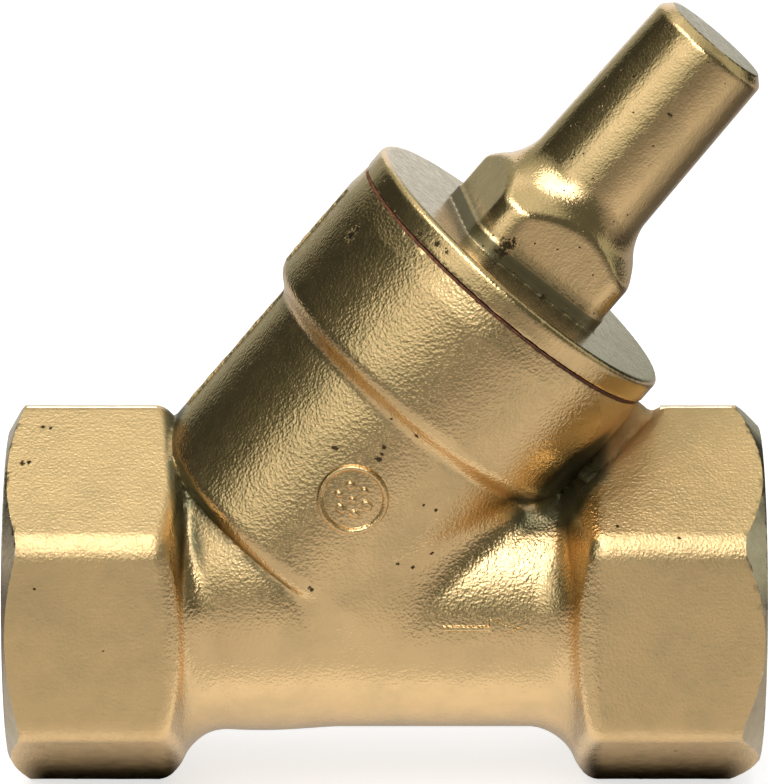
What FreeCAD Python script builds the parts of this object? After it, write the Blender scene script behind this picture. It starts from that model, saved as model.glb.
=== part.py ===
import FreeCAD, Part
import math
import os
import re

import Sketcher

# Angle seat non-return valve in forged brass, for a one-inch pipe, in millimetres.
# The run axis is X: water comes in at the face on X = 0 and leaves at the far face.
# The neck leans downstream from the run and carries the bonnet, the stem and the disc.
# Heights called "along the neck" are counted from the point where the two axes cross.

SIZES = {
    # forged body, run and hexagon ends
    "run_length": 90,
    "hexagon_across_flats": 41,
    "inlet_hexagon_length": 19,
    "outlet_hexagon_length": 20.4,
    "hexagon_edge_round": 3,
    "die_land": 1.4,
    "flash_width": 1.8,
    "flash_rise": 0.115,
    "flash_end_setback": 0.7,
    "corner_margin": 1,
    "cutter_margin": 2,
    "inlet_face_radius": 19.8,
    "outlet_face_radius": 20.2,
    "inlet_face_slope": 30,
    "outlet_face_slope": 44,
    "inlet_shoulder_slope": 64,
    "outlet_shoulder_slope": 66,
    "shoulder_crest_round": 1.4,
    "shoulder_cove_round": 3.5,
    "run_tube_radius": 16,
    # ports and waterway
    "port_thread_radius": 16.62,
    "port_thread_length": 17,
    "port_mouth_chamfer": 0.6,
    "waterway_radius": 13,
    "outlet_bore_start": 46.5,
    # neck
    "neck_angle": 50,
    "neck_crossing": 27,
    "neck_radius": 19.4,
    "neck_floor": 9.2,
    "neck_floor_round": 3,
    "collar_radius": 21.6,
    "collar_start": 33.3,
    "collar_round": 2.6,
    "collar_top": 50,
    "collar_bevel": 0.3,
    "collar_bevel_height": 2.6,
    "relief_radius": 23.8,
    "relief_floor": 38,
    "web_thickness": 3,
    "web_root": 1,
    "web_drop": 0.8,
    "neck_wall": 3.2,
    "collar_wall": 3.6,
    "cover_thread_length": 12,
    "cover_mouth_chamfer": 0.5,
    # seat in the body
    "seat_bore_radius": 12.5,
    "seat_height": 12.5,
    "seat_lip_width": 1.6,
    "seat_lip_rise": 1.5,
    # bonnet
    "gasket_thickness": 0.3,
    "gasket_play": 0.3,
    "gasket_rim_inset": 0.35,
    "flange_rim_inset": 0.2,
    "flange_thickness": 3.1,
    "flange_edge_round": 0.8,
    "head_across_flats": 19.6,
    "head_corner_round": 3.7,
    "head_turn": 10.6,
    "cone_height": 10.7,
    "head_slope": 45,
    "boss_root_radius": 8.05,
    "boss_root_round": 2.2,
    "boss_end_radius": 7.65,
    "boss_end_chamfer": 1.1,
    "bonnet_height": 38.5,
    "boss_end_wall": 3,
    "spigot_length": 11.3,
    "spigot_wall": 4.9,
    "spring_pocket_height": 8.5,
    "guide_wall": 2,
    # guide bush, stem and their fits
    "bush_wall": 1.45,
    "bush_length": 20,
    "stem_radius": 4,
    "stem_top": 74,
    "stem_end_chamfer": 0.5,
    "stem_thread_radius": 3,
    "stem_tip_below_nut": 0.8,
    "stem_bore_clearance": 0.6,
    "running_clearance": 0.05,
    "seated_clearance": 0.02,
    "thread_clearance": 0.1,
    "washer_play": 0.2,
    # disc and what it clamps
    "disc_lift": 10,
    "stop_clearance": 0.3,
    "seal_contact_gap": 0.05,
    "seal_thickness": 3,
    "seal_overlap": 0.5,
    "seal_hole_radius": 6.2,
    "seal_play": 0.1,
    "skirt_wall": 1,
    "skirt_rise": 1.2,
    "disc_plate_thickness": 3.9,
    "disc_edge_chamfer": 1.5,
    "disc_hub_radius": 7,
    "hub_edge_chamfer": 0.4,
    "stem_shoulder_height": 23.5,
    "retainer_radius": 10.6,
    "retainer_thickness": 1.5,
    "lock_washer_radius": 5.6,
    "lock_washer_thickness": 1.5,
    "lock_washer_slit": 1,
    "nut_across_flats": 10,
    "nut_height": 5,
    "nut_face_radius": 4.85,
    "nut_chamfer_slope": 30,
    # closing spring and its upper washer
    "spring_mean_radius": 10,
    "spring_wire_radius": 0.6,
    "spring_active_turns": 7,
    "spring_turn_gap": 0.04,
    "spring_end_gap": 0.05,
    "spring_washer_thickness": 1,
    "washer_rim_play": 0.28,
}

# Places that follow from the driving sizes, written in the same names.
PLACES = {
    "hexagon_apothem": "hexagon_across_flats / 2",
    "hexagon_side_height": "hexagon_apothem * tan(30)",
    "hexagon_corner": "hexagon_apothem / cos(30)",
    "land_height": "hexagon_corner - die_land / 2 * tan(30)",
    "flash_height": "land_height + flash_rise",
    "flash_foot": "land_height - flash_width / 2",
    "inlet_flash_start": "(flash_height - inlet_face_radius) * tan(inlet_face_slope)",
    "inlet_flash_end": "inlet_hexagon_length - flash_end_setback",
    "outlet_flash_start": "run_length - outlet_hexagon_length + flash_end_setback",
    "outlet_flash_end": (
        "run_length - (flash_height - outlet_face_radius) * tan(outlet_face_slope)"
    ),
    "blank_radius": "hexagon_corner + corner_margin",
    "inlet_slope_run": "(blank_radius - inlet_face_radius) * tan(inlet_face_slope)",
    "outlet_slope_run": "(blank_radius - outlet_face_radius) * tan(outlet_face_slope)",
    "shoulder_rise": "blank_radius - run_tube_radius",
    "inlet_shoulder_start": "inlet_hexagon_length - corner_margin / tan(inlet_shoulder_slope)",
    "inlet_shoulder_end": "inlet_shoulder_start + shoulder_rise / tan(inlet_shoulder_slope)",
    "outlet_corner_end": "run_length - outlet_hexagon_length",
    "outlet_shoulder_start": "outlet_corner_end + corner_margin / tan(outlet_shoulder_slope)",
    "outlet_shoulder_end": "outlet_shoulder_start - shoulder_rise / tan(outlet_shoulder_slope)",
    "port_step": "(port_thread_radius - waterway_radius) * tan(30)",
    "seat_lip_radius": "seat_bore_radius + seat_lip_width",
    "chamber_radius": "neck_radius - neck_wall",
    "chamber_floor": "seat_height - seat_lip_rise",
    "chamber_top": "collar_top - cover_thread_length",
    "cover_thread_radius": "collar_radius - collar_wall",
    "flange_radius": "collar_radius - flange_rim_inset",
    "gasket_radius": "flange_radius - gasket_rim_inset",
    "gasket_hole_radius": "cover_thread_radius + cover_mouth_chamfer + gasket_play",
    "flange_base": "collar_top + gasket_thickness",
    "flange_top": "flange_base + flange_thickness",
    "head_apothem": "head_across_flats / 2",
    "head_flat": "head_across_flats - 2 * head_corner_round",
    "head_blank_radius": "head_apothem * sqrt(2)",
    "cone_end": "flange_top + cone_height",
    "cone_start": "cone_end - (head_blank_radius - boss_root_radius) * tan(head_slope)",
    "bonnet_top": "collar_top + gasket_thickness + bonnet_height",
    "stem_bore_top": "bonnet_top - boss_end_wall",
    "spigot_radius": "cover_thread_radius - thread_clearance",
    "spigot_base": "flange_base - spigot_length",
    "spring_pocket_radius": "spigot_radius - spigot_wall",
    "spring_pocket_top": "spigot_base + spring_pocket_height",
    "bush_bore_radius": "stem_radius + running_clearance",
    "bush_radius": "bush_bore_radius + bush_wall",
    "bush_seat_radius": "bush_radius + seated_clearance",
    "guide_radius": "bush_seat_radius + guide_wall",
    "bush_top": "spigot_base + bush_length",
    "stem_bore_radius": "stem_radius + stem_bore_clearance",
    "seal_base": "seat_height + seal_contact_gap",
    "seal_top": "seal_base + seal_thickness",
    "seal_radius": "seat_lip_radius + seal_overlap",
    "disc_radius": "seal_radius + seated_clearance + skirt_wall",
    "skirt_base": "seat_height + skirt_rise",
    "disc_plate_top": "seal_top + disc_plate_thickness",
    "disc_hub_top": "spigot_base - stop_clearance - disc_lift",
    "shank_hole_radius": "stem_radius + seated_clearance",
    "thread_hole_radius": "stem_thread_radius + seated_clearance",
    "clamp_face": "seal_base + seated_clearance",
    "retainer_base": "seal_base - retainer_thickness",
    "lock_washer_base": "retainer_base - lock_washer_thickness",
    "nut_base": "lock_washer_base - nut_height",
    "stem_tip": "nut_base - stem_tip_below_nut",
    "nut_corner_radius": "nut_across_flats / 2 / cos(30)",
    "nut_chamfer_rise": "(nut_corner_radius - nut_face_radius) * tan(nut_chamfer_slope)",
    "spring_base": "disc_plate_top + spring_end_gap",
    "spring_top": "spring_pocket_top - spring_washer_thickness - spring_end_gap",
    "spring_length": "spring_top - spring_base",
    "spring_dead_pitch": "2 * spring_wire_radius + spring_turn_gap",
    "spring_wire_base": "spring_base - spring_wire_radius / 2",
    "spring_wire_top": "spring_top + spring_wire_radius / 2",
    "spring_open_height": "spring_length + spring_wire_radius - 2 * spring_dead_pitch",
    "spring_pitch": "spring_open_height / spring_active_turns",
}

doc = FreeCAD.newDocument("angle_seat_non_return_valve")
sheet = doc.addObject("Spreadsheet::Sheet", "sheet")
for row, (alias, size) in enumerate(SIZES.items(), start=1):
    sheet.set(f"A{row}", alias.replace("_", " "))
    sheet.set(f"B{row}", str(size))
    sheet.setAlias(f"B{row}", alias)
doc.recompute()


def bound(expression):
    """The expression with each place spelled out and each size read from the sheet."""

    def spelled(match):
        word = match.group(0)
        if word in PLACES:
            return f"({bound(PLACES[word])})"
        return f"sheet.{word}" if word in SIZES else word

    return re.sub(r"[a-z_]+", spelled, expression)


def origin_plane(body, role):
    return next(f for f in body.Origin.OriginFeatures if f.Role == role)


def new_body(label):
    body = doc.addObject("PartDesign::Body", label)
    body.Label = label
    return body


def neck_body(label):
    """A body modelled upright, its heights along the neck, then leaned into place on the neck's axis."""
    body = new_body(label)
    body.Placement = FreeCAD.Placement(
        FreeCAD.Vector(),
        FreeCAD.Rotation(FreeCAD.Vector(0, 1, 0), 90 - SIZES["neck_angle"]),
    )
    body.setExpression("Placement.Rotation.Angle", bound("90 - neck_angle"))
    body.setExpression("Placement.Base.x", bound("neck_crossing"))
    return body


def new_sketch(body, name, plane="XZ_Plane", height=None):
    sketch = body.newObject("Sketcher::SketchObject", name)
    sketch.AttachmentSupport = [(origin_plane(body, plane), "")]
    sketch.MapMode = "FlatFace"
    if height:
        sketch.setExpression("AttachmentOffset.Base.z", bound(height))
    return sketch


def lean_on_neck(sketch):
    """Turn a sketch of the run's upright plane so that its vertical axis is the neck's axis."""
    sketch.AttachmentOffset = FreeCAD.Placement(
        FreeCAD.Vector(),
        FreeCAD.Rotation(FreeCAD.Vector(0, 0, 1), SIZES["neck_angle"] - 90),
    )
    sketch.setExpression("AttachmentOffset.Rotation.Angle", bound("neck_angle - 90"))
    sketch.setExpression("AttachmentOffset.Base.x", bound("neck_crossing"))


def polygon(sketch, corners):
    """Closed outline through corners given as pairs of expressions."""
    first = sketch.GeometryCount
    count = len(corners)
    rough = [FreeCAD.Vector(i + 1, (i + 1) ** 2 % 7, 0) for i in range(count)]
    for i in range(count):
        sketch.addGeometry(Part.LineSegment(rough[i], rough[(i + 1) % count]), False)
    for i in range(count):
        following = first + (i + 1) % count
        sketch.addConstraint(Sketcher.Constraint("Coincident", first + i, 2, following, 1))
    for i, corner in enumerate(corners):
        for kind, expression in zip(("DistanceX", "DistanceY"), corner):
            datum = Sketcher.Constraint(kind, -1, 1, first + i, 1, 1.0)
            index = sketch.addConstraint(datum)
            sketch.setExpression(f"Constraints[{index}]", bound(expression))


def circle(sketch, radius, across="0"):
    """Circle of a bound radius, its centre on the sketch's horizontal axis."""
    index = sketch.addGeometry(Part.Circle(FreeCAD.Vector(1, 0, 0), FreeCAD.Vector(0, 0, 1), 5), False)
    sketch.addConstraint(Sketcher.Constraint("PointOnObject", index, 3, -1))
    for datum, expression in (
        (Sketcher.Constraint("DistanceX", -1, 1, index, 3, 1.0), across),
        (Sketcher.Constraint("Radius", index, 5.0), radius),
    ):
        constraint = sketch.addConstraint(datum)
        sketch.setExpression(f"Constraints[{constraint}]", bound(expression))


def regular_polygon(sketch, sides, apothem, across="0"):
    """Closed outline of a regular polygon, its centre on the sketch's horizontal axis."""
    reach = f"{apothem} / cos({180 / sides})"
    corners = []
    for i in range(sides):
        angle = (i + 0.5) * 360 / sides
        corners.append((f"{across} + {reach} * cos({angle})", f"{reach} * sin({angle})"))
    polygon(sketch, corners)


def round_corner(sketch, chamfer, centre_over):
    """Swap a chamfer between an upright and a level side for the round that is tangent to both.

    The centre stands over the chamfer's start (1) or its end (2).
    """
    doc.recompute()
    line = sketch.Geometry[chamfer]
    ends = {1: line.StartPoint, 2: line.EndPoint}
    level = ends[3 - centre_over]
    centre = FreeCAD.Vector(ends[centre_over].x, level.y, 0)
    radius = (ends[1] - centre).Length
    angles = [math.atan2(p.y - centre.y, p.x - centre.x) for p in (ends[1], ends[2])]
    turns_left = (angles[1] - angles[0]) % (2 * math.pi) < math.pi
    first, last = angles if turns_left else reversed(angles)
    whole = Part.Circle(centre, FreeCAD.Vector(0, 0, 1), radius)
    arc = sketch.addGeometry(Part.ArcOfCircle(whole, first, last), False)
    start, end = (1, 2) if turns_left else (2, 1)
    sketch.addConstraint(Sketcher.Constraint("Coincident", arc, start, chamfer, 1))
    sketch.addConstraint(Sketcher.Constraint("Coincident", arc, end, chamfer, 2))
    sketch.addConstraint(Sketcher.Constraint("Vertical", arc, 3, chamfer, centre_over))
    sketch.toggleConstruction(chamfer)


def checked(feature, before, adds):
    """A feature counts only if it changed the solid's volume the right way."""
    doc.recompute()
    volume = feature.Shape.Volume
    if (volume > before) != adds or abs(volume - before) < 1e-3:
        raise RuntimeError(f"{feature.Name} changed the volume from {before} to {volume}")
    return feature


def volume_of(body):
    doc.recompute()
    return body.Shape.Volume if body.Tip else 0.0


def revolve(body, name, sketch, axis="V_Axis", adds=True):
    before = volume_of(body)
    kind = "PartDesign::Revolution" if adds else "PartDesign::Groove"
    feature = body.newObject(kind, name)
    feature.Profile = sketch
    feature.ReferenceAxis = (sketch, [axis])
    feature.Angle = 360
    sketch.Visibility = False
    return checked(feature, before, adds)


def extrude(body, name, sketch, length=None, adds=True, reverse=False, both_ways=False):
    """Pad or pocket a sketch by a bound length, or a pocket through all where none is given."""
    before = volume_of(body)
    feature = body.newObject("PartDesign::Pad" if adds else "PartDesign::Pocket", name)
    feature.Profile = sketch
    feature.Reversed = reverse
    if both_ways:
        feature.SideType = "Symmetric"
    if length:
        feature.setExpression("Length", bound(length))
    else:
        feature.Type = "ThroughAll"
    return checked(feature, before, adds)


def round_edges(body, name, radius, wanted):
    """Fillet the edges of the body's tip that the test accepts."""
    before = volume_of(body)
    base = body.Tip
    names = [f"Edge{i}" for i, e in enumerate(base.Shape.Edges, start=1) if wanted(e)]
    if not names:
        raise RuntimeError(f"{name} found no edge to round")
    fillet = body.newObject("PartDesign::Fillet", name)
    fillet.Base = (base, names)
    fillet.setExpression("Radius", bound(radius))
    doc.recompute()
    if abs(fillet.Shape.Volume - before) < 1e-3:
        raise RuntimeError(f"{name} rounded nothing")
    return fillet


def is_shoulder_crest(edge):
    """An edge between a hexagon and the cone behind it, on either end of the run."""
    box = edge.BoundBox
    from_port = min(box.XMin, sheet.run_length - box.XMax)
    middle = edge.CenterOfMass
    far_out = math.hypot(middle.y, middle.z) > sheet.inlet_face_radius
    return far_out and from_port > sheet.inlet_hexagon_length / 2 and box.XLength > 1e-3


def is_line_along(edge, axis):
    if not isinstance(edge.Curve, Part.Line):
        return False
    return abs(abs(edge.Curve.Direction.dot(axis)) - 1) < 1e-6


# Forged valve body: the turned outline of the run comes first, then its two hexagon ends.
valve_body = new_body("valve_body")
run_outline = new_sketch(valve_body, "run_outline")
polygon(
    run_outline,
    [
        ("0", "0"),
        ("0", "inlet_face_radius"),
        ("inlet_slope_run", "blank_radius"),
        ("inlet_shoulder_start", "blank_radius"),
        ("inlet_shoulder_end", "run_tube_radius"),
        ("outlet_shoulder_end", "run_tube_radius"),
        ("outlet_shoulder_start", "blank_radius"),
        ("run_length - outlet_slope_run", "blank_radius"),
        ("run_length", "outlet_face_radius"),
        ("run_length", "0"),
    ],
)
revolve(valve_body, "run", run_outline, "H_Axis")

# The forging dies meet in the upright plane, so each hexagon has a corner at the top and the
# bottom, cut back to a narrow land.
hexagon_outline = new_sketch(valve_body, "hexagon_outline", "YZ_Plane")
circle(hexagon_outline, "blank_radius + cutter_margin")
polygon(
    hexagon_outline,
    [
        ("hexagon_apothem", "hexagon_side_height"),
        ("die_land / 2", "land_height"),
        ("-die_land / 2", "land_height"),
        ("-hexagon_apothem", "hexagon_side_height"),
        ("-hexagon_apothem", "-hexagon_side_height"),
        ("-die_land / 2", "-land_height"),
        ("die_land / 2", "-land_height"),
        ("hexagon_apothem", "-hexagon_side_height"),
    ],
)
extrude(valve_body, "hexagons", hexagon_outline, adds=False, reverse=True)

run_direction = FreeCAD.Vector(1, 0, 0)
round_edges(
    valve_body,
    "die_face_rounds",
    "hexagon_edge_round",
    lambda e: is_line_along(e, run_direction)
    and abs(abs(e.Vertexes[0].Point.y) - sheet.hexagon_across_flats / 2) < 1e-3,
)
round_edges(
    valve_body,
    "shoulder_coves",
    "shoulder_cove_round",
    lambda e: isinstance(e.Curve, Part.Circle)
    and abs(e.Curve.Radius - sheet.run_tube_radius) < 1e-3,
)

round_edges(valve_body, "shoulder_crests", "shoulder_crest_round", is_shoulder_crest)

# The flash was trimmed off and left a flat raised strip along the top and bottom of each end.
flash_outline = new_sketch(valve_body, "flash_outline")
for side in ("", "-"):
    for start, end in (
        ("inlet_flash_start", "inlet_flash_end"),
        ("outlet_flash_start", "outlet_flash_end"),
    ):
        polygon(
            flash_outline,
            [
                (start, f"{side}flash_foot"),
                (end, f"{side}flash_foot"),
                (end, f"{side}flash_height"),
                (start, f"{side}flash_height"),
            ],
        )
extrude(valve_body, "flash_strips", flash_outline, "flash_width", both_ways=True)

# Between the collar and the outlet hexagon the dies leave a round valley.
relief_outline = new_sketch(valve_body, "relief_outline")
lean_on_neck(relief_outline)
polygon(
    relief_outline,
    [
        ("0", "relief_floor"),
        ("relief_radius", "relief_floor"),
        ("relief_radius", "collar_top + relief_radius"),
        ("0", "collar_top + relief_radius"),
    ],
)
revolve(valve_body, "collar_relief", relief_outline, adds=False)

# Neck and collar: a pot that leans downstream and grows out of the run tube.
neck_outline = new_sketch(valve_body, "neck_outline")
lean_on_neck(neck_outline)
polygon(
    neck_outline,
    [
        ("0", "neck_floor"),
        ("neck_radius - neck_floor_round", "neck_floor"),
        ("neck_radius", "neck_floor + neck_floor_round"),
        ("neck_radius", "collar_start"),
        ("collar_radius - collar_round", "collar_start"),
        ("collar_radius", "collar_start + collar_round"),
        ("collar_radius", "collar_top - collar_bevel_height"),
        ("collar_radius - collar_bevel", "collar_top"),
        ("0", "collar_top"),
    ],
)
round_corner(neck_outline, 1, 1)
round_corner(neck_outline, 4, 1)
revolve(valve_body, "neck", neck_outline)

# In the plane where the dies meet, a web of metal stays across that valley.
web_outline = new_sketch(valve_body, "web_outline")
lean_on_neck(web_outline)
web_span = ("collar_radius - web_root", "relief_radius + web_root")
polygon(
    web_outline,
    [
        (web_span[0], "relief_floor - web_root"),
        (web_span[1], "relief_floor - web_root"),
        (web_span[1], "collar_top - web_drop"),
        (web_span[0], "collar_top - web_drop"),
    ],
)
extrude(valve_body, "parting_web", web_outline, "web_thickness", both_ways=True)

# Both ports are bored and threaded from their faces, the outlet's as far as the valve chamber.
run_bores = new_sketch(valve_body, "run_bores")
polygon(
    run_bores,
    [
        ("0", "0"),
        ("0", "port_thread_radius + port_mouth_chamfer"),
        ("port_mouth_chamfer", "port_thread_radius"),
        ("port_thread_length", "port_thread_radius"),
        ("port_thread_length + port_step", "waterway_radius"),
        ("neck_crossing", "waterway_radius"),
        ("neck_crossing", "0"),
    ],
)
polygon(
    run_bores,
    [
        ("run_length", "0"),
        ("run_length", "port_thread_radius + port_mouth_chamfer"),
        ("run_length - port_mouth_chamfer", "port_thread_radius"),
        ("run_length - port_thread_length", "port_thread_radius"),
        ("run_length - port_thread_length - port_step", "waterway_radius"),
        ("outlet_bore_start", "waterway_radius"),
        ("outlet_bore_start", "0"),
    ],
)
revolve(valve_body, "port_bores", run_bores, "H_Axis", adds=False)

before_elbow = volume_of(valve_body)
elbow = valve_body.newObject("PartDesign::SubtractiveSphere", "inlet_elbow")
elbow.setExpression("Radius", bound("waterway_radius"))
elbow.setExpression("Placement.Base.x", bound("neck_crossing"))
checked(elbow, before_elbow, adds=False)

# The neck is bored from its open end: seat bore, raised seat lip, chamber and cover thread.
neck_bores = new_sketch(valve_body, "neck_bores")
lean_on_neck(neck_bores)
polygon(
    neck_bores,
    [
        ("0", "0"),
        ("seat_bore_radius", "0"),
        ("seat_bore_radius", "seat_height"),
        ("seat_lip_radius", "seat_height"),
        ("seat_lip_radius", "chamber_floor"),
        ("chamber_radius", "chamber_floor"),
        ("chamber_radius", "chamber_top"),
        ("cover_thread_radius", "chamber_top"),
        ("cover_thread_radius", "collar_top - cover_mouth_chamfer"),
        ("cover_thread_radius + cover_mouth_chamfer", "collar_top"),
        ("0", "collar_top"),
    ],
)
revolve(valve_body, "seat_and_chamber", neck_bores, adds=False)

# Bonnet: a turned cover with a spigot that screws into the neck and a long closed boss.
bonnet = neck_body("bonnet")
bonnet_outline = new_sketch(bonnet, "bonnet_outline")
polygon(
    bonnet_outline,
    [
        ("spring_pocket_radius", "spigot_base"),
        ("spigot_radius - cover_mouth_chamfer", "spigot_base"),
        ("spigot_radius", "spigot_base + cover_mouth_chamfer"),
        ("spigot_radius", "flange_base"),
        ("flange_radius - flange_edge_round / 2", "flange_base"),
        ("flange_radius", "flange_base + flange_edge_round / 2"),
        ("flange_radius", "flange_top - flange_edge_round"),
        ("flange_radius - flange_edge_round", "flange_top"),
        ("head_blank_radius", "flange_top"),
        ("head_blank_radius", "cone_start"),
        ("boss_root_radius", "cone_end"),
        ("boss_end_radius", "bonnet_top - boss_end_chamfer"),
        ("boss_end_radius - boss_end_chamfer", "bonnet_top"),
        ("0", "bonnet_top"),
        ("0", "stem_bore_top"),
        ("stem_bore_radius", "stem_bore_top"),
        ("stem_bore_radius", "bush_top"),
        ("bush_seat_radius", "bush_top"),
        ("bush_seat_radius", "spigot_base"),
        ("guide_radius", "spigot_base"),
        ("guide_radius", "spring_pocket_top"),
        ("spring_pocket_radius", "spring_pocket_top"),
    ],
)
round_corner(bonnet_outline, 4, 1)
round_corner(bonnet_outline, 6, 2)
revolve(bonnet, "cover", bonnet_outline)

# The wrench head is square with well-rounded corners, and the screwed cover stops a little turned.
head_outline = new_sketch(bonnet, "head_outline", "XY_Plane", "flange_top")
circle(head_outline, "head_blank_radius + cutter_margin")
head_corners = []
for quarter in range(4):
    angle = f"(head_turn + {90 * quarter})"
    for across in ("-head_flat / 2", "head_flat / 2"):
        head_corners.append(
            (
                f"head_apothem * cos{angle} - ({across}) * sin{angle}",
                f"head_apothem * sin{angle} + ({across}) * cos{angle}",
            )
        )
polygon(head_outline, head_corners)
doc.recompute()
for quarter in range(4):
    chamfer = 2 + 2 * quarter
    line = head_outline.Geometry[chamfer]
    half = (line.EndPoint - line.StartPoint).Length / 2
    middle = (line.StartPoint + line.EndPoint) * 0.5
    centre = middle - FreeCAD.Vector(middle).normalize() * half
    start = math.atan2(line.StartPoint.y - centre.y, line.StartPoint.x - centre.x)
    whole = Part.Circle(centre, FreeCAD.Vector(0, 0, 1), half * math.sqrt(2))
    arc = head_outline.addGeometry(Part.ArcOfCircle(whole, start, start + math.pi / 2), False)
    head_outline.addConstraint(Sketcher.Constraint("Coincident", arc, 1, chamfer, 1))
    head_outline.addConstraint(Sketcher.Constraint("Coincident", arc, 2, chamfer, 2))
    rounding = head_outline.addConstraint(Sketcher.Constraint("Radius", arc, half * math.sqrt(2)))
    head_outline.setExpression(f"Constraints[{rounding}]", bound("head_corner_round"))
    head_outline.toggleConstruction(chamfer)
extrude(bonnet, "wrench_head", head_outline, adds=False, reverse=True)

round_edges(
    bonnet,
    "boss_root",
    "boss_root_round",
    lambda e: isinstance(e.Curve, Part.Circle)
    and abs(e.Curve.Radius - sheet.boss_root_radius) < 1e-3,
)


def ring(label, inner, outer, base, top):
    """A plain ring on the neck's axis, kept as one turned outline."""
    body = neck_body(label)
    outline = new_sketch(body, f"{label}_outline")
    polygon(outline, [(inner, base), (outer, base), (outer, top), (inner, top)])
    revolve(body, f"{label}_ring", outline)
    return body


# The cover draws a thin flat ring down on the collar's face.
bonnet_gasket = ring(
    "bonnet_gasket", "gasket_hole_radius", "gasket_radius", "collar_top", "flange_base"
)

# Inside the cover: the bush that guides the stem, and the washer that takes the spring.
guide_bush = ring("guide_bush", "bush_bore_radius", "bush_radius", "spigot_base", "bush_top")
spring_washer = ring(
    "spring_washer",
    "guide_radius + washer_play",
    "spring_pocket_radius - washer_rim_play",
    "spring_pocket_top - spring_washer_thickness",
    "spring_pocket_top",
)

# Stem: a ground shank that slides in the bush, stepped down to a thread that clamps the disc.
stem = neck_body("stem")
stem_outline = new_sketch(stem, "stem_outline")
polygon(
    stem_outline,
    [
        ("0", "stem_tip"),
        ("stem_thread_radius - stem_end_chamfer", "stem_tip"),
        ("stem_thread_radius", "stem_tip + stem_end_chamfer"),
        ("stem_thread_radius", "stem_shoulder_height"),
        ("stem_radius", "stem_shoulder_height"),
        ("stem_radius", "stem_top - stem_end_chamfer"),
        ("stem_radius - stem_end_chamfer", "stem_top"),
        ("0", "stem_top"),
    ],
)
revolve(stem, "stem_turning", stem_outline)

# Disc carrier: a skirt keeps the seal from spreading, and the hub is the stop at full lift.
disc_carrier = neck_body("disc_carrier")
carrier_outline = new_sketch(disc_carrier, "carrier_outline")
polygon(
    carrier_outline,
    [
        ("thread_hole_radius", "clamp_face"),
        ("seal_hole_radius - seal_play", "clamp_face"),
        ("seal_hole_radius - seal_play", "seal_top"),
        ("seal_radius + seated_clearance", "seal_top"),
        ("seal_radius + seated_clearance", "skirt_base"),
        ("disc_radius", "skirt_base"),
        ("disc_radius", "disc_plate_top - disc_edge_chamfer"),
        ("disc_radius - disc_edge_chamfer", "disc_plate_top"),
        ("disc_hub_radius", "disc_plate_top"),
        ("disc_hub_radius", "disc_hub_top - hub_edge_chamfer"),
        ("disc_hub_radius - hub_edge_chamfer", "disc_hub_top"),
        ("shank_hole_radius", "disc_hub_top"),
        ("shank_hole_radius", "stem_shoulder_height"),
        ("thread_hole_radius", "stem_shoulder_height"),
    ],
)
revolve(disc_carrier, "carrier_turning", carrier_outline)

# The soft seal, and the washer that clamps it from below.
disc_seal = ring("disc_seal", "seal_hole_radius", "seal_radius", "seal_base", "seal_top")
seal_retainer = ring(
    "seal_retainer",
    "stem_thread_radius + washer_play",
    "retainer_radius",
    "retainer_base",
    "seal_base",
)

# Split spring washer: a ring with one slit.
lock_washer = ring(
    "lock_washer",
    "stem_thread_radius + washer_play",
    "lock_washer_radius",
    "lock_washer_base",
    "retainer_base",
)
slit_outline = new_sketch(lock_washer, "slit_outline", "XY_Plane", "lock_washer_base")
polygon(
    slit_outline,
    [
        ("0", "-lock_washer_slit / 2"),
        ("lock_washer_radius + cutter_margin", "-lock_washer_slit / 2"),
        ("lock_washer_radius + cutter_margin", "lock_washer_slit / 2"),
        ("0", "lock_washer_slit / 2"),
    ],
)
extrude(lock_washer, "slit", slit_outline, adds=False, reverse=True)

# Retaining nut: turned with chamfered corners, then cut to a hexagon.
retaining_nut = neck_body("retaining_nut")
nut_outline = new_sketch(retaining_nut, "nut_outline")
polygon(
    nut_outline,
    [
        ("thread_hole_radius", "nut_base"),
        ("nut_face_radius", "nut_base"),
        ("nut_corner_radius", "nut_base + nut_chamfer_rise"),
        ("nut_corner_radius", "lock_washer_base - nut_chamfer_rise"),
        ("nut_face_radius", "lock_washer_base"),
        ("thread_hole_radius", "lock_washer_base"),
    ],
)
revolve(retaining_nut, "nut_blank", nut_outline)
nut_hexagon = new_sketch(retaining_nut, "nut_hexagon", "XY_Plane", "nut_base")
circle(nut_hexagon, "nut_corner_radius + cutter_margin")
regular_polygon(nut_hexagon, 6, "nut_across_flats / 2")
extrude(retaining_nut, "nut_flats", nut_hexagon, adds=False, reverse=True)

# Closing spring: an open coil between two closed end turns, each ground flat. Its wire has eight
# sides, which keeps the mesh of so many turns light.
closing_spring = neck_body("closing_spring")
for name, height, pitch, turns in (
    ("lower_end_turn", "spring_wire_base", "spring_dead_pitch", "1"),
    ("open_coil", "spring_wire_base + spring_dead_pitch", "spring_pitch", "spring_active_turns"),
    ("upper_end_turn", "spring_wire_top - spring_dead_pitch", "spring_dead_pitch", "1"),
):
    before_turns = volume_of(closing_spring)
    wire = new_sketch(closing_spring, f"{name}_wire")
    wire.setExpression("AttachmentOffset.Base.y", bound(height))
    regular_polygon(wire, 8, "spring_wire_radius", across="spring_mean_radius")
    coil = closing_spring.newObject("PartDesign::AdditiveHelix", name)
    coil.Profile = wire
    coil.ReferenceAxis = (wire, ["V_Axis"])
    coil.Mode = "pitch-turns-angle"
    coil.setExpression("Pitch", bound(pitch))
    coil.setExpression("Turns", bound(turns))
    checked(coil, before_turns, adds=True)
grinding_outline = new_sketch(closing_spring, "grinding_outline")
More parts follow.
